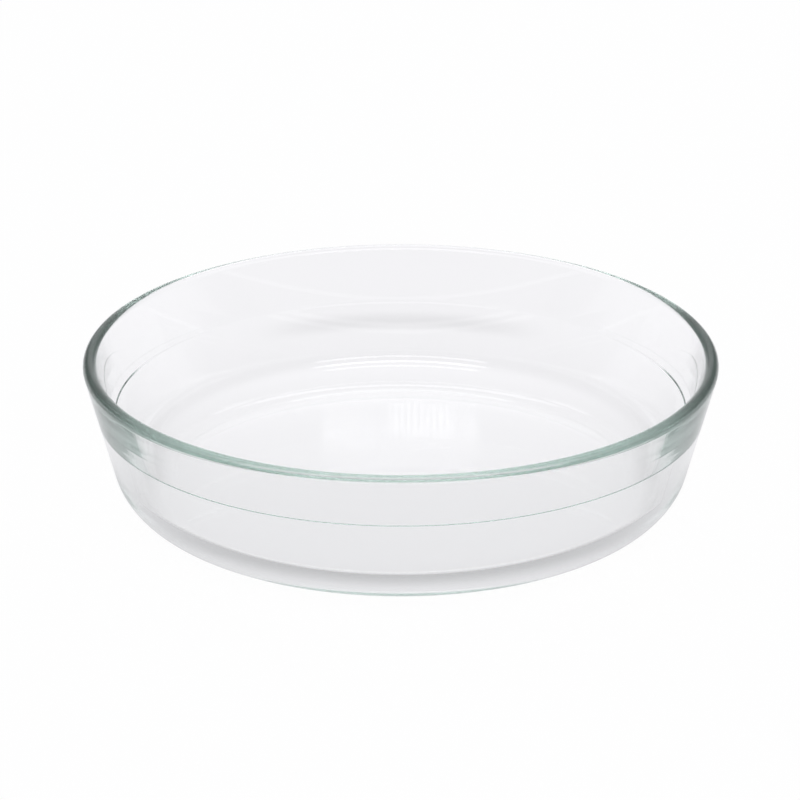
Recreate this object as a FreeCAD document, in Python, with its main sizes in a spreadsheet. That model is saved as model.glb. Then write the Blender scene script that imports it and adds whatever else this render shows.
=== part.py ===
import FreeCAD, Part
import math
import os
import Sketcher

# A round pie dish of pressed heat-resistant glass: one piece, open at the top, with no lid and no handles.
# Frame: millimetres, +Z up, origin at the centre of the plane that the dish stands on.

NODE = "glass_dish"

# Driving dimensions, in millimetres and degrees: name, value, meaning
DIMENSIONS = (
    ("rim_diameter", 260.0, "across the outside of the rim"),
    ("dish_height", 62.0, "from the standing plane to the top of the rim"),
    ("rim_thickness", 5.6, "across the full round of the rim"),
    ("outer_draft", 14.8, "lean of the outside of the wall, from upright"),
    ("inner_draft", 18.4, "lean of the inside above the ledge, so that the wall thins towards the rim"),
    ("lower_draft", 14.4, "lean of the inside below the ledge"),
    ("ledge_depth", 23.2, "from the top of the rim down to the small ledge around the inside"),
    ("ledge_width", 0.5, "how far the inside steps in at that ledge"),
    ("ledge_slope", 45.0, "fall of the ledge towards the axis, from level"),
    ("heel_radius", 20.7, "outer curve between the wall and the foot"),
    ("inner_heel_radius", 18.2, "inner curve between the wall and the floor"),
    ("floor_thickness", 6.2, "from the standing plane to the floor inside"),
    ("foot_width", 5.0, "width of the flat ring that the dish stands on"),
    ("base_rise", 0.5, "how far the underside arches up inside that ring"),
)


def make_sheet(doc):
    """Put the driving dimensions into a sheet, one named cell each."""
    sheet = doc.addObject("Spreadsheet::Sheet", "Sizes")
    for row, (name, value, meaning) in enumerate(DIMENSIONS, start=1):
        sheet.set(f"A{row}", name)
        sheet.set(f"B{row}", str(value))
        sheet.set(f"C{row}", meaning)
        sheet.setAlias(f"B{row}", name)
    doc.recompute()
    return sheet


def origin_feature(body, role):
    """The body's own origin plane or axis with this role."""
    return next(item for item in body.Origin.OriginFeatures if item.Role == role)


def point(radius, height):
    """A point of the section: radius from the axis, height above the standing plane."""
    return FreeCAD.Vector(radius, height, 0.0)


def section_points(sheet):
    """Corners and arc centres of the section, worked out from the sheet, where the solver starts."""
    rim_round = sheet.rim_thickness / 2.0
    outer = math.radians(sheet.outer_draft)
    inner = math.radians(sheet.inner_draft)
    lower = math.radians(sheet.lower_draft)
    ledge_fall = sheet.ledge_width * math.tan(math.radians(sheet.ledge_slope))
    ledge_level = sheet.dish_height - sheet.ledge_depth

    spot = {}
    spot["rim_centre"] = point(sheet.rim_diameter / 2.0 - rim_round, sheet.dish_height - rim_round)
    spot["rim_out"] = spot["rim_centre"] + point(math.cos(outer), -math.sin(outer)) * rim_round
    spot["rim_in"] = spot["rim_centre"] - point(math.cos(inner), -math.sin(inner)) * rim_round
    spot["rim_side"] = spot["rim_centre"] + point(rim_round, 0.0)
    spot["rim_top"] = spot["rim_centre"] + point(0.0, rim_round)

    ledge_reach = spot["rim_in"].x - (spot["rim_in"].y - ledge_level) * math.tan(inner)
    spot["ledge"] = point(ledge_reach, ledge_level)
    spot["lower_in"] = spot["ledge"] - point(sheet.ledge_width, ledge_fall)

    def curve(name, top, lean, radius, floor):
        """Centre, floor end and wall end of the arc that joins a level floor to the wall under top."""
        reach = radius / math.cos(lean) + (top.y - floor - radius) * math.tan(lean)
        centre = point(top.x - reach, floor + radius)
        spot[f"{name}_centre"] = centre
        spot[f"{name}_foot"] = centre - point(0.0, radius)
        spot[f"{name}_top"] = centre + point(math.cos(lean), -math.sin(lean)) * radius

    curve("heel", spot["rim_out"], outer, sheet.heel_radius, 0.0)
    curve("bend", spot["lower_in"], lower, sheet.inner_heel_radius, sheet.floor_thickness)

    spot["foot_in"] = spot["heel_foot"] - point(sheet.foot_width, 0.0)
    arch_radius = (spot["foot_in"].x ** 2 + sheet.base_rise ** 2) / (2.0 * sheet.base_rise)
    spot["arch_top"] = point(0.0, sheet.base_rise)
    spot["arch_centre"] = spot["arch_top"] - point(0.0, arch_radius)
    spot["floor_axis"] = point(0.0, sheet.floor_thickness)
    return spot


def draw_section(sketch, sheet):
    """Draw half of the dish's section and tie every size of it to the sheet."""
    spot = section_points(sheet)
    edges = {}
    START, END, CENTRE = 1, 2, 3
    ORIGIN = -1
    UPRIGHT = -2

    def line(name, start, end):
        edges[name] = sketch.addGeometry(Part.LineSegment(spot[start], spot[end]), False)

    def arc(name, centre, start, end):
        middle = spot[centre]
        radius = (spot[start] - middle).Length
        circle = Part.Circle(middle, FreeCAD.Vector(0, 0, 1), radius)
        reaches = [spot[name] - middle for name in (start, end)]
        angles = [math.atan2(reach.y, reach.x) for reach in reaches]
        edges[name] = sketch.addGeometry(Part.ArcOfCircle(circle, *angles), False)

    def join(kind, first, first_end, second, second_end):
        sketch.addConstraint(Sketcher.Constraint(kind, edges[first], first_end, edges[second], second_end))

    def level(name):
        sketch.addConstraint(Sketcher.Constraint("Horizontal", edges[name]))

    def bind(name, constraint, formula):
        """Add a dimension and give it a formula of the sheet's cells."""
        index = sketch.addConstraint(constraint)
        sketch.renameConstraint(index, name)
        sketch.setExpression(f"Constraints.{name}", formula)

    def slope(name, edge, formula):
        line_ends = sketch.Geometry[edges[edge]]
        rise = line_ends.EndPoint - line_ends.StartPoint
        angle = math.atan2(rise.y, rise.x)
        bind(name, Sketcher.Constraint("Angle", edges[edge], angle), formula)

    def span(name, direction, first, second, formula):
        """Level or upright distance from one (edge, end) to another."""
        ends = [sketch.getPoint(*place) for place in (first, second)]
        reach = ends[1] - ends[0]
        value = reach.x if direction == "DistanceX" else reach.y
        bind(name, Sketcher.Constraint(direction, *first, *second, value), formula)

    # Underside, outside, rim, inside and floor, in that order
    line("axis", "floor_axis", "arch_top")
    arc("underside", "arch_centre", "foot_in", "arch_top")
    line("foot", "foot_in", "heel_foot")
    arc("heel", "heel_centre", "heel_foot", "heel_top")
    line("outside", "heel_top", "rim_out")
    arc("rim_underside", "rim_centre", "rim_out", "rim_side")
    arc("outer_rim", "rim_centre", "rim_side", "rim_top")
    arc("inner_rim", "rim_centre", "rim_top", "rim_in")
    line("upper_inside", "ledge", "rim_in")
    line("ledge", "lower_in", "ledge")
    line("lower_inside", "bend_top", "lower_in")
    arc("bend", "bend_centre", "bend_foot", "bend_top")
    line("floor", "floor_axis", "bend_foot")

    # Corners, and smooth joins where an arc meets a line
    join("Coincident", "axis", END, "underside", END)
    join("Coincident", "underside", START, "foot", START)
    join("Tangent", "foot", END, "heel", START)
    join("Tangent", "heel", END, "outside", START)
    join("Tangent", "outside", END, "rim_underside", START)
    join("Coincident", "rim_underside", END, "outer_rim", START)
    join("Coincident", "outer_rim", END, "inner_rim", START)
    join("Tangent", "inner_rim", END, "upper_inside", END)
    join("Coincident", "upper_inside", START, "ledge", END)
    join("Coincident", "ledge", START, "lower_inside", END)
    join("Tangent", "lower_inside", START, "bend", END)
    join("Tangent", "bend", START, "floor", END)
    join("Coincident", "floor", START, "axis", START)
    level("foot")
    level("floor")

    # The rim is one round in three arcs, parted at its widest point and at its top
    join("Coincident", "rim_underside", CENTRE, "outer_rim", CENTRE)
    join("Coincident", "inner_rim", CENTRE, "outer_rim", CENTRE)
    join("Horizontal", "outer_rim", CENTRE, "outer_rim", START)
    join("Vertical", "outer_rim", CENTRE, "outer_rim", END)

    # The rim, and the two sides of the wall that hang from it
    origin = (ORIGIN, START)
    rim_centre = (edges["outer_rim"], CENTRE)
    rim_size = Sketcher.Constraint("Radius", edges["outer_rim"], sheet.rim_thickness / 2.0)
    bind("rim_round", rim_size, "Sizes.rim_thickness / 2")
    span("rim_reach", "DistanceX", origin, rim_centre, "(Sizes.rim_diameter - Sizes.rim_thickness) / 2")
    span("rim_level", "DistanceY", origin, rim_centre, "Sizes.dish_height - Sizes.rim_thickness / 2")
    slope("outer_lean", "outside", "90 deg - Sizes.outer_draft * 1 deg")
    slope("inner_lean", "upper_inside", "90 deg - Sizes.inner_draft * 1 deg")

    # The small ledge and the inside of the wall below it
    ledge_ends = [(edges["ledge"], end) for end in (START, END)]
    span("ledge_level", "DistanceY", origin, ledge_ends[1], "Sizes.dish_height - Sizes.ledge_depth")
    span("ledge_width", "DistanceX", *ledge_ends, "Sizes.ledge_width")
    slope("ledge_fall", "ledge", "Sizes.ledge_slope * 1 deg")
    slope("lower_lean", "lower_inside", "90 deg - Sizes.lower_draft * 1 deg")

    # The heel, the foot ring, the arched underside and the floor
    heel_size = Sketcher.Constraint("Radius", edges["heel"], sheet.heel_radius)
    bend_size = Sketcher.Constraint("Radius", edges["bend"], sheet.inner_heel_radius)
    bind("heel_radius", heel_size, "Sizes.heel_radius")
    bind("bend_radius", bend_size, "Sizes.inner_heel_radius")
    sketch.addConstraint(Sketcher.Constraint("PointOnObject", edges["foot"], START, ORIGIN))
    span("foot_width", "DistanceX", (edges["foot"], START), (edges["foot"], END), "Sizes.foot_width")
    span("base_rise", "DistanceY", origin, (edges["underside"], END), "Sizes.base_rise")
    for edge, end in (("axis", START), ("axis", END), ("underside", CENTRE)):
        sketch.addConstraint(Sketcher.Constraint("PointOnObject", edges[edge], end, UPRIGHT))
    span("floor_level", "DistanceY", origin, (edges["floor"], START), "Sizes.floor_thickness")


def make_dish(doc, sheet):
    """Turn the section once around the axis."""
    body = doc.addObject("PartDesign::Body", NODE)
    body.Label = NODE
    section = body.newObject("Sketcher::SketchObject", "dish_section")
    section.AttachmentSupport = [(origin_feature(body, "XZ_Plane"), "")]
    section.MapMode = "FlatFace"
    doc.recompute()
    draw_section(section, sheet)
    doc.recompute()
    if not section.FullyConstrained:
        raise RuntimeError("the dish section is not fully constrained")
    dish = body.newObject("PartDesign::Revolution", "pressed_dish")
    dish.Profile = section
    dish.ReferenceAxis = (origin_feature(body, "Z_Axis"), [""])
    dish.Angle = 360.0
    body.Placement = FreeCAD.Placement()
    doc.recompute()
    return body


def check(doc, parts):
    """Stop before anything is written if an object failed or a shape is not one sound solid."""
    failed = [item.Name for item in doc.Objects if "Invalid" in item.State or "Error" in item.State]
    if failed:
        raise RuntimeError(f"failed objects: {failed}")
    for part in parts:
        if part.Shape.isNull() or not part.Shape.isValid() or len(part.Shape.Solids) != 1:
            raise RuntimeError(f"{part.Label} is not one valid solid")


def main():
    doc = FreeCAD.newDocument("pie_dish")
    sheet = make_sheet(doc)
    parts = [make_dish(doc, sheet)]
    check(doc, parts)
    os.makedirs("parts", exist_ok=True)
    for part in parts:
        part.Shape.exportStep(f"parts/{part.Label}.step")
        box = part.Shape.optimalBoundingBox()
        size = f"{box.XLength:.2f} x {box.YLength:.2f} x {box.ZLength:.2f} mm"
        print(f"{part.Label}: {size}, {part.Shape.Volume / 1e6:.4f} l of glass")


main()
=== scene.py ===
import math

import bpy
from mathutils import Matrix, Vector


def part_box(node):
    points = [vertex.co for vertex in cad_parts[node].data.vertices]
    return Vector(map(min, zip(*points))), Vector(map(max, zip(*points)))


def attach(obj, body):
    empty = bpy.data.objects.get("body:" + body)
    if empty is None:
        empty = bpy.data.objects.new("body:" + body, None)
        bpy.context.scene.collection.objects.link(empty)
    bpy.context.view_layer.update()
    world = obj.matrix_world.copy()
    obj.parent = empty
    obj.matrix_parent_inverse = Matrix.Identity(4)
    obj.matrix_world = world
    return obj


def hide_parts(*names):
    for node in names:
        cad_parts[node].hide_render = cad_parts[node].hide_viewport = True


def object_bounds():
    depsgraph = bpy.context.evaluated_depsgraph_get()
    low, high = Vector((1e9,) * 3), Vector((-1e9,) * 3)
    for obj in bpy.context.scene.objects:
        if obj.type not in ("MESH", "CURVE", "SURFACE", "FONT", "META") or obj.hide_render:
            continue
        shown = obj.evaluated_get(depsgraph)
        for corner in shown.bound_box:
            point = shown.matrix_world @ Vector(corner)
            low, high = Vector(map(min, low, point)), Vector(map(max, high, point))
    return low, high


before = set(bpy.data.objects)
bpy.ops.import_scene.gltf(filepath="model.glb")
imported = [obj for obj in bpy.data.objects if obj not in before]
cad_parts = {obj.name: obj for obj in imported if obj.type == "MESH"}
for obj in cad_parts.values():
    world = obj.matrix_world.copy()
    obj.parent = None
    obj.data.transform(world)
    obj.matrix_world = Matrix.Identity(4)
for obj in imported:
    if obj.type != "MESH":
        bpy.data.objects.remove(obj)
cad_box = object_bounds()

# A round pie dish of thick clear pressed glass, standing on a white table.
# Lengths are in metres. +Z is up along the dish's axis, and +Y points away from the camera.

NODE = "glass_dish"
PIECE = "pressed_glass_dish"
MM = 0.001
WHITE = (1.0, 1.0, 1.0, 1.0)
NEARLY_NOUGHT = 0.001

# The dish's section: sizes that the box of the part does not give
RIM_ROUND = 2.8 * MM
OUTER_DRAFT = math.radians(14.8)
INNER_DRAFT = math.radians(18.4)
LOWER_DRAFT = math.radians(14.4)
LEDGE_DEPTH = 23.2 * MM
LEDGE_WIDTH = 0.5 * MM
LEDGE_SLOPE = math.radians(45.0)
LEDGE_ROUND = 0.2 * MM
HEEL_RADIUS = 20.7 * MM
INNER_HEEL_RADIUS = 18.2 * MM
FLOOR_THICKNESS = 6.2 * MM
FOOT_WIDTH = 5.0 * MM
FOOT_ROUND = 250.0 * MM
BASE_RISE = 0.5 * MM

# Fineness of the turned mesh
TURN_STEPS = 384
ARC_STEP = math.radians(4.0)
FEWEST_ARC_STEPS = 3
LONGEST_RUN = 8.0 * MM
SAME_PLACE = 0.0001 * MM

# The glass: it bends light as borosilicate does and is faintly green in its depth.
# The mould left slow waves in the surface, and wiping left faint traces in the polish.
GLASS_IOR = 1.474
GLASS_TINT = (0.5, 0.6675, 0.605, 1.0)
GLASS_DENSITY = 4.0
GLASS_BOUNCES = 64
WAVES_PER_METRE = 30.0
WAVE_DETAIL = 3.0
WAVE_FINENESS = 0.35
WAVE_HEIGHT = 0.015 * MM
TRACES_PER_METRE = 70.0
TRACE_DETAIL = 5.0
TRACE_EDGE = (0.45, 0.75)
TRACE_ROUGHNESS = 0.03

# The studio: a wide soft light overhead, two strip lamps over the camera, one strip behind the dish,
# a small lamp behind slats, a pale backdrop, and a room that is dim in front, paler at the sides and behind
# and lighter near the floor.
# An edge runs from where a light begins to where it is full.
# It is given in heights (sine) or in how far behind the dish (cosine).
STUDIO_COLOR = (0.985, 0.977, 1.0, 1.0)
OVERHEAD_LEVEL = 1.064
OVERHEAD_EDGE = (0.329, 0.733)
OVERHEAD_LEAN = 0.145
OVERHEAD_FADE = -0.35
STRIP_SOFTNESS = 0.3
STRIP_LEVEL = 3.2
STRIP_HEIGHTS = (math.radians(35.0), math.radians(49.0))
STRIP_HALF_WIDTH = math.radians(2.3)
STRIP_SPREAD = (-0.73, -0.80)
BACK_STRIP_LEVEL = 2.0
BACK_STRIP_HEIGHT = math.radians(49.0)
BACK_STRIP_HALF_WIDTH = math.radians(4.0)
BACK_STRIP_SPREAD = (0.80, 0.95)
SLATS_LEVEL = 0.45
SLATS_BOTTOM = (0.384, 0.388)
SLATS_TOP = (0.4005, 0.3945)
SLATS_LEFT = (-0.006, -0.002)
SLATS_RIGHT = (0.0195, 0.016)
SLATS_PITCH = 0.00214
SLAT_EDGE = (-0.3, 0.7)
SLAT_LEVELS = (0.3, 1.0)
ROOM_LEVEL = 0.263
ROOM_EDGE = (0.17, 0.035)
SIDE_LEVEL = 0.338
SIDE_EDGE = (-0.6, 0.31)
BACKDROP_LEVEL = 0.723
BACKDROP_EDGE = (0.945, 1.005)

# The table, a hair under the foot: white to the camera.
# In the glass it is a glow with painted light and shade: it dims towards the camera and far off in front,
# with a painted shade of the wall round the foot and a painted shadow that the rim throws behind the dish.
TABLE_COLOR = (0.93, 0.925, 0.945, 1.0)
TABLE_ROUGHNESS = 0.8
TABLE_SIZE = 8.0
TABLE_LEVEL = -0.02 * MM
WHITE_SHARE = 0.96
GLOW_LEVELS = (0.86, 1.0)
GLOW_DEPTH = (-111.0 * MM, 200.0 * MM)
FAR_REACH = (600.0 * MM, 1000.0 * MM)
FAR_FACING = (0.66, -0.763)
SHADE_DEPTHS = (0.04, 0.37)
SHADE_START = (97.0 * MM, 111.0 * MM)
SHADE_END = (260.0 * MM, 100.0 * MM)
SHADE_FACING = (0.55, -1.1)
RIM_SHADE_DEPTH = 0.11
RIM_SHADE_BACK = 62.0 * MM
RIM_SHADE_INSIDE = (119.0 * MM, 132.0 * MM)
RIM_SHADE_OUTSIDE = (149.0 * MM, 134.0 * MM)
RIM_SHADE_FACING = (0.925, 0.995)

# The camera, fitted to the photograph's outline
IMAGE_SIZE = 800
SENSOR_WIDTH = 36.0
FOCAL_PIXELS = 3828.0
CAMERA_BACK = 1456.9 * MM
CAMERA_OVER_RIM = 580.15 * MM
CAMERA_PITCH = math.radians(22.4403)
CAMERA_TURN = math.radians(0.0126)
CAMERA_CLIP = (0.05, 50.0)


def section_corners(rim_radius, height):
    """Corners of half the dish's section, from the middle of the underside round to the middle of the floor.

    Each corner is (radius, height, rounding)."""
    # The wall hangs from a full round rim that touches rim_radius and height
    rim_centre = rim_radius - RIM_ROUND
    rim_level = height - RIM_ROUND

    def outside(level):
        return rim_centre + RIM_ROUND / math.cos(OUTER_DRAFT) + (level - rim_level) * math.tan(OUTER_DRAFT)

    def inside(level):
        return rim_centre - RIM_ROUND / math.cos(INNER_DRAFT) + (level - rim_level) * math.tan(INNER_DRAFT)

    # The small ledge around the inside, and the lower wall under it
    ledge_level = height - LEDGE_DEPTH
    ledge = inside(ledge_level)
    lower_level = ledge_level - LEDGE_WIDTH * math.tan(LEDGE_SLOPE)
    lower = ledge - LEDGE_WIDTH
    bend = lower - (lower_level - FLOOR_THICKNESS) * math.tan(LOWER_DRAFT)
    # The heel runs into a flat foot ring
    heel = outside(0.0)
    foot_out = heel - HEEL_RADIUS * math.tan((math.pi / 2.0 - OUTER_DRAFT) / 2.0)
    foot_in = foot_out - FOOT_WIDTH
    # The underside rises to the middle in one wide arc, drawn as a corner halfway with a very large rounding
    halfway = foot_in / 2.0
    half_turn = math.tan(math.atan2(BASE_RISE, halfway) / 2.0)
    base_round = (halfway - FOOT_ROUND * half_turn) / half_turn
    return [
        (0.0, BASE_RISE, 0.0),
        (halfway, BASE_RISE, base_round),
        (foot_in, 0.0, FOOT_ROUND),
        (heel, 0.0, HEEL_RADIUS),
        (outside(height), height, RIM_ROUND),
        (inside(height), height, RIM_ROUND),
        (ledge, ledge_level, LEDGE_ROUND),
        (lower, lower_level, LEDGE_ROUND),
        (bend, FLOOR_THICKNESS, INNER_HEEL_RADIUS),
        (0.0, FLOOR_THICKNESS, 0.0),
    ]


def swung(vector, swing):
    """A flat vector turned by an angle."""
    cosine, sine = math.cos(swing), math.sin(swing)
    return Vector((vector.x * cosine - vector.y * sine, vector.x * sine + vector.y * cosine))


def rounded_outline(corners):
    """Points and outward normals along the corners, with each corner rounded by an arc."""
    places = [Vector(corner[:2]) for corner in corners]
    runs = [(end - start).normalized() for start, end in zip(places, places[1:])]
    points = []

    def add(place, along):
        if not points or (place - points[-1][0]).length > SAME_PLACE:
            points.append((place, Vector((along.y, -along.x))))

    add(places[0], runs[0])
    for here, into, out, (_, _, rounding) in zip(places[1:], runs, runs[1:], corners[1:]):
        turn = into.angle_signed(out)
        reach = rounding * math.tan(abs(turn) / 2.0)
        start = here - into * reach
        side = Vector((-into.y, into.x)) if turn < 0 else Vector((into.y, -into.x))
        centre = start + side * rounding
        steps = max(FEWEST_ARC_STEPS, math.ceil(abs(turn) / ARC_STEP))
        for step in range(steps + 1):
            swing = -turn * step / steps
            add(centre + swung(start - centre, swing), swung(into, swing))
    add(places[-1], runs[-1])
    return points


def with_runs_divided(points):
    """The same outline with long straight runs divided."""
    divided = [points[0]]
    for (start, first), (end, normal) in zip(points, points[1:]):
        pieces = max(1, math.ceil((end - start).length / LONGEST_RUN))
        for piece in range(1, pieces):
            share = piece / pieces
            divided.append((start.lerp(end, share), first.lerp(normal, share).normalized()))
        divided.append((end, normal))
    return divided


def turned_mesh(name, points):
    """A closed mesh turned from an outline that starts and ends on the axis."""
    vertices = []
    normals = []
    faces = []
    for place, normal in points[1:-1]:
        for step in range(TURN_STEPS):
            turn = math.tau * step / TURN_STEPS
            cosine, sine = math.cos(turn), math.sin(turn)
            vertices.append((place.x * cosine, place.x * sine, place.y))
            normals.append((normal.x * cosine, normal.x * sine, normal.y))
    rings = len(points) - 2
    around = [(step, (step + 1) % TURN_STEPS) for step in range(TURN_STEPS)]
    for ring in range(rings - 1):
        low, high = ring * TURN_STEPS, (ring + 1) * TURN_STEPS
        for here, following in around:
            faces.append((low + here, low + following, high + following, high + here))
    for (place, normal), ring, faces_down in ((points[0], 0, True), (points[-1], rings - 1, False)):
        hub = len(vertices)
        vertices.append((0.0, 0.0, place.y))
        normals.append((0.0, 0.0, normal.y))
        first = ring * TURN_STEPS
        for here, following in around:
            edge = (first + following, first + here) if faces_down else (first + here, first + following)
            faces.append((hub, *edge))
    mesh = bpy.data.meshes.new(name)
    mesh.from_pydata(vertices, [], faces)
    mesh.validate()
    mesh.shade_smooth()
    mesh.normals_split_custom_set_from_vertices(normals)
    return mesh


def placed(name, data):
    """A new object in the scene."""
    thing = bpy.data.objects.new(name, data)
    bpy.context.scene.collection.objects.link(thing)
    return thing


def reckon(tree, operation, *values):
    """One step of arithmetic on sockets and plain numbers."""
    node = tree.nodes.new("ShaderNodeMath")
    node.operation = operation
    for socket, value in zip(node.inputs, values):
        if isinstance(value, float):
            socket.default_value = value
        else:
            tree.links.new(value, socket)
    return node.outputs["Value"]


def smooth_step(tree, value, edge):
    """Nought at the edge's first value, one at its second, and smooth between them."""
    node = tree.nodes.new("ShaderNodeMapRange")
    node.interpolation_type = "SMOOTHSTEP"
    node.inputs["From Min"].default_value = edge[0]
    node.inputs["From Max"].default_value = edge[1]
    tree.links.new(value, node.inputs["Value"])
    return node.outputs["Result"]


def band(tree, value, rise, fall):
    """One between two soft edges, nought outside them."""
    return reckon(tree, "MULTIPLY", smooth_step(tree, value, rise), smooth_step(tree, value, fall))


def between(tree, share, levels):
    """A level between two, by a share."""
    return reckon(tree, "MULTIPLY_ADD", share, levels[1] - levels[0], levels[0])


def dimmed(tree, level, share):
    """The level without a share of it."""
    return reckon(tree, "MULTIPLY", level, reckon(tree, "SUBTRACT", 1.0, share))


def brightened(tree, level, share, lamp_level):
    """The level with a share of a lamp's level added."""
    return reckon(tree, "MULTIPLY_ADD", share, lamp_level, level)


def coordinates(tree, kind):
    """The three parts of a texture coordinate."""
    place = tree.nodes.new("ShaderNodeTexCoord")
    parts = tree.nodes.new("ShaderNodeSeparateXYZ")
    tree.links.new(place.outputs[kind], parts.inputs["Vector"])
    return parts.outputs["X"], parts.outputs["Y"], parts.outputs["Z"]


def distance(tree, across, back):
    """Distance on the table from an upright axis, never quite nought."""
    squares = reckon(tree, "MULTIPLY_ADD", across, across, reckon(tree, "MULTIPLY", back, back))
    return reckon(tree, "MAXIMUM", reckon(tree, "SQRT", squares), NEARLY_NOUGHT)


def noise(tree, per_metre, detail):
    """A soft random pattern through the object, so many to the metre."""
    pattern = tree.nodes.new("ShaderNodeTexNoise")
    pattern.inputs["Scale"].default_value = per_metre
    pattern.inputs["Detail"].default_value = detail
    place = tree.nodes.new("ShaderNodeTexCoord")
    tree.links.new(place.outputs["Object"], pattern.inputs["Vector"])
    return pattern


def glass_material():
    """Clear glass, faintly wavy, with a green that shows where light runs far inside it."""
    material = bpy.data.materials.new("clear_glass")
    material.use_nodes = True
    tree = material.node_tree
    shader = tree.nodes["Principled BSDF"]
    shader.inputs["Base Color"].default_value = WHITE
    shader.inputs["IOR"].default_value = GLASS_IOR
    shader.inputs["Transmission Weight"].default_value = 1.0
    waves = noise(tree, WAVES_PER_METRE, WAVE_DETAIL)
    waves.inputs["Roughness"].default_value = WAVE_FINENESS
    bump = tree.nodes.new("ShaderNodeBump")
    bump.inputs["Distance"].default_value = WAVE_HEIGHT
    tree.links.new(waves.outputs["Fac"], bump.inputs["Height"])
    tree.links.new(bump.outputs["Normal"], shader.inputs["Normal"])
    traces = smooth_step(tree, noise(tree, TRACES_PER_METRE, TRACE_DETAIL).outputs["Fac"], TRACE_EDGE)
    tree.links.new(reckon(tree, "MULTIPLY", traces, TRACE_ROUGHNESS), shader.inputs["Roughness"])
    absorption = tree.nodes.new("ShaderNodeVolumeAbsorption")
    absorption.inputs["Color"].default_value = GLASS_TINT
    absorption.inputs["Density"].default_value = GLASS_DENSITY
    tree.links.new(absorption.outputs["Volume"], tree.nodes["Material Output"].inputs["Volume"])
    return material


def make_dish():
    """The dish, turned from its section to fill the box of the part."""
    low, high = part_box(NODE)
    corners = section_corners((high.x - low.x) / 2.0, high.z - low.z)
    mesh = turned_mesh(PIECE, with_runs_divided(rounded_outline(corners)))
    mesh.materials.append(glass_material())
    dish = placed(PIECE, mesh)
    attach(dish, "root")
    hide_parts(NODE)


def camera_white(tree, seen):
    """The studio's own tone, and white where the camera looks straight at it."""
    mix = tree.nodes.new("ShaderNodeMix")
    mix.data_type = "RGBA"
    tree.links.new(seen, mix.inputs["Factor"])
    mix.inputs["A"].default_value = STUDIO_COLOR
    mix.inputs["B"].default_value = WHITE
    return mix.outputs["Result"]


def table_glow(tree):
    """How bright the table glows in the glass, by place, with painted falloff and painted shadows of the wall
    and rim.
    """
    across, back, _ = coordinates(tree, "Object")
    reach = distance(tree, across, back)
    facing = reckon(tree, "DIVIDE", back, reach)
    # Painted light: the glow is brighter behind the dish than in front
    level = between(tree, smooth_step(tree, back, GLOW_DEPTH), GLOW_LEVELS)
    # Painted falloff: the glow dims far off in front and at the sides
    far = reckon(tree, "MULTIPLY", smooth_step(tree, reach, FAR_REACH), smooth_step(tree, facing, FAR_FACING))
    # Painted shade of the wall round the foot
    wall_depth = between(tree, smooth_step(tree, facing, SHADE_FACING), SHADE_DEPTHS)
    wall_shade = reckon(tree, "MULTIPLY", band(tree, reach, SHADE_START, SHADE_END), wall_depth)
    # Painted shadow that the rim throws behind the dish
    rim_reach = distance(tree, across, reckon(tree, "SUBTRACT", back, RIM_SHADE_BACK))
    rim_depth = reckon(tree, "MULTIPLY", smooth_step(tree, facing, RIM_SHADE_FACING), RIM_SHADE_DEPTH)
    rim_ring = band(tree, rim_reach, RIM_SHADE_INSIDE, RIM_SHADE_OUTSIDE)
    rim_shade = reckon(tree, "MULTIPLY", rim_ring, rim_depth)
    for share in (far, wall_shade, rim_shade):
        level = dimmed(tree, level, share)
    return level


def table_material():
    """A matt white table that the camera sees as white, with a trace of the dish's shadow; in the glass it is
    mostly a glow with painted shade.
    """
    material = bpy.data.materials.new("white_table")
    material.use_nodes = True
    tree = material.node_tree
    matt = tree.nodes["Principled BSDF"]
    matt.inputs["Base Color"].default_value = TABLE_COLOR
    matt.inputs["Roughness"].default_value = TABLE_ROUGHNESS
    matt.inputs["Specular IOR Level"].default_value = 0.0
    rays = tree.nodes.new("ShaderNodeLightPath")
    seen = rays.outputs["Is Camera Ray"]
    in_glass = reckon(tree, "MAXIMUM", rays.outputs["Is Glossy Ray"], rays.outputs["Is Transmission Ray"])
    share = reckon(tree, "MULTIPLY", reckon(tree, "MAXIMUM", seen, in_glass), WHITE_SHARE)
    glow = tree.nodes.new("ShaderNodeEmission")
    tree.links.new(camera_white(tree, seen), glow.inputs["Color"])
    tree.links.new(reckon(tree, "MAXIMUM", seen, table_glow(tree)), glow.inputs["Strength"])
    mix = tree.nodes.new("ShaderNodeMixShader")
    tree.links.new(share, mix.inputs["Fac"])
    tree.links.new(matt.outputs["BSDF"], mix.inputs[1])
    tree.links.new(glow.outputs["Emission"], mix.inputs[2])
    tree.links.new(mix.outputs["Shader"], tree.nodes["Material Output"].inputs["Surface"])
    return material


def make_table():
    """A wide flat card under the dish, which is not part of it."""
    half = TABLE_SIZE / 2.0
    corners = [(-half, -half), (half, -half), (half, half), (-half, half)]
    mesh = bpy.data.meshes.new("table")
    mesh.from_pydata([(*corner, TABLE_LEVEL) for corner in corners], [], [range(len(corners))])
    mesh.materials.append(table_material())
    card = placed("table", mesh)


def soft_light(tree, back, up, behind):
    """The room with its paler sides, the backdrop behind the dish, and the wide light overhead."""
    level = reckon(tree, "MULTIPLY", smooth_step(tree, up, ROOM_EDGE), ROOM_LEVEL)
    level = brightened(tree, level, smooth_step(tree, behind, SIDE_EDGE), SIDE_LEVEL)
    level = brightened(tree, level, smooth_step(tree, behind, BACKDROP_EDGE), BACKDROP_LEVEL)
    top = reckon(tree, "MULTIPLY_ADD", back, OVERHEAD_FADE, OVERHEAD_LEVEL)
    overhead = smooth_step(tree, reckon(tree, "MULTIPLY_ADD", behind, OVERHEAD_LEAN, up), OVERHEAD_EDGE)
    return reckon(tree, "MULTIPLY_ADD", overhead, reckon(tree, "SUBTRACT", top, level), level)


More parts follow.
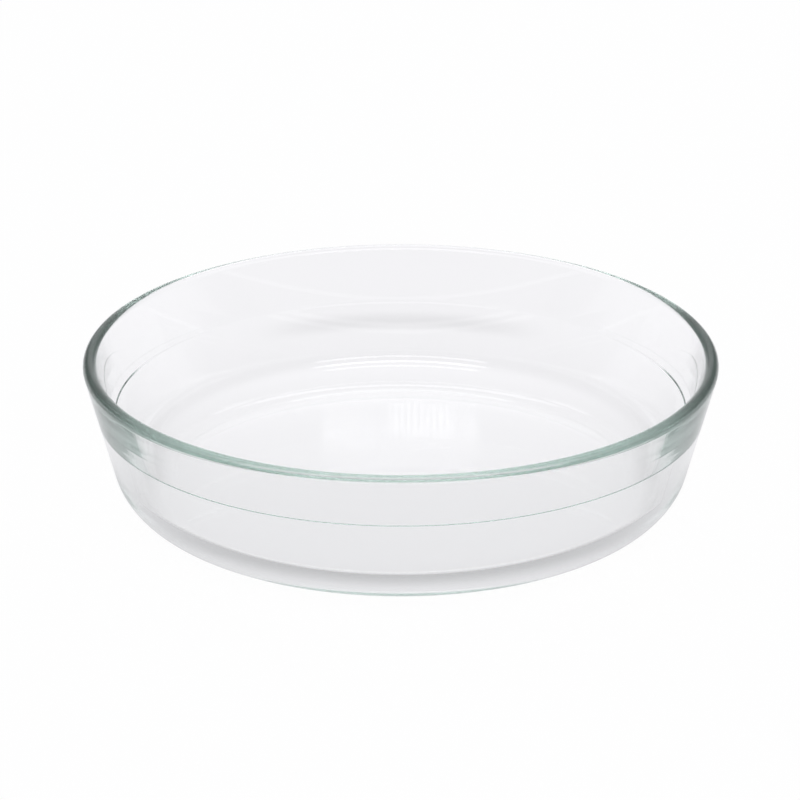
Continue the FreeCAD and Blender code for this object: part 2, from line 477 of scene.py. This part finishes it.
def strip_lamp(tree, up, behind, height, half_width, spread):
    """A level strip of light at a height, in front of the dish or behind it."""
    middle = math.sin(height)
    half = math.sin(height + half_width) - middle
    edge = (half * (1.0 + STRIP_SOFTNESS), half * (1.0 - STRIP_SOFTNESS))
    away = reckon(tree, "ABSOLUTE", reckon(tree, "SUBTRACT", up, middle))
    return reckon(tree, "MULTIPLY", smooth_step(tree, away, edge), smooth_step(tree, behind, spread))


def slatted_lamp(tree, across, back, up):
    """A small lamp far behind with upright slats before it, which the floor of the dish mirrors."""
    wide = band(tree, across, SLATS_LEFT, SLATS_RIGHT)
    high = band(tree, up, SLATS_BOTTOM, SLATS_TOP)
    stripes = reckon(tree, "SINE", reckon(tree, "MULTIPLY", across, math.tau / SLATS_PITCH))
    lit = between(tree, smooth_step(tree, stripes, SLAT_EDGE), SLAT_LEVELS)
    behind = reckon(tree, "GREATER_THAN", back, 0.0)
    window = reckon(tree, "MULTIPLY", wide, high)
    return reckon(tree, "MULTIPLY", window, reckon(tree, "MULTIPLY", lit, behind))


def make_world():
    """The studio around the dish, white where the camera sees it."""
    world = bpy.data.worlds.new("studio")
    world.use_nodes = True
    tree = world.node_tree
    across, back, up = coordinates(tree, "Generated")
    flat_length = reckon(tree, "SQRT", reckon(tree, "SUBTRACT", 1.0, reckon(tree, "MULTIPLY", up, up)))
    behind = reckon(tree, "DIVIDE", back, reckon(tree, "MAXIMUM", flat_length, NEARLY_NOUGHT))
    level = soft_light(tree, back, up, behind)
    for height in STRIP_HEIGHTS:
        strip = strip_lamp(tree, up, behind, height, STRIP_HALF_WIDTH, STRIP_SPREAD)
        level = brightened(tree, level, strip, STRIP_LEVEL)
    level = brightened(tree, level, slatted_lamp(tree, across, back, up), SLATS_LEVEL)
    back_strip = strip_lamp(tree, up, behind, BACK_STRIP_HEIGHT, BACK_STRIP_HALF_WIDTH, BACK_STRIP_SPREAD)
    level = brightened(tree, level, back_strip, BACK_STRIP_LEVEL)
    seen = tree.nodes.new("ShaderNodeLightPath").outputs["Is Camera Ray"]
    strength = reckon(tree, "MULTIPLY_ADD", seen, reckon(tree, "SUBTRACT", 1.0, level), level)
    background = tree.nodes["Background"]
    tree.links.new(camera_white(tree, seen), background.inputs["Color"])
    tree.links.new(strength, background.inputs["Strength"])
    bpy.context.scene.world = world


def make_camera(height):
    """The camera in front of the dish, looking down over a rim of this height."""
    camera = bpy.data.cameras.new("camera")
    camera.sensor_width = SENSOR_WIDTH
    camera.lens = SENSOR_WIDTH * FOCAL_PIXELS / IMAGE_SIZE
    camera.clip_start, camera.clip_end = CAMERA_CLIP
    holder = placed("camera", camera)
    holder.location = (0.0, -CAMERA_BACK, height + CAMERA_OVER_RIM)
    holder.rotation_euler = (math.pi / 2.0 - CAMERA_PITCH, 0.0, CAMERA_TURN)
    bpy.context.scene.camera = holder


scene = bpy.context.scene
scene.view_settings.view_transform = "Standard"
scene.cycles.max_bounces = GLASS_BOUNCES
scene.cycles.glossy_bounces = GLASS_BOUNCES
scene.cycles.transmission_bounces = GLASS_BOUNCES
scene.cycles.blur_glossy = 0.0

make_dish()
make_table()
make_world()
make_camera(cad_box[1].z)
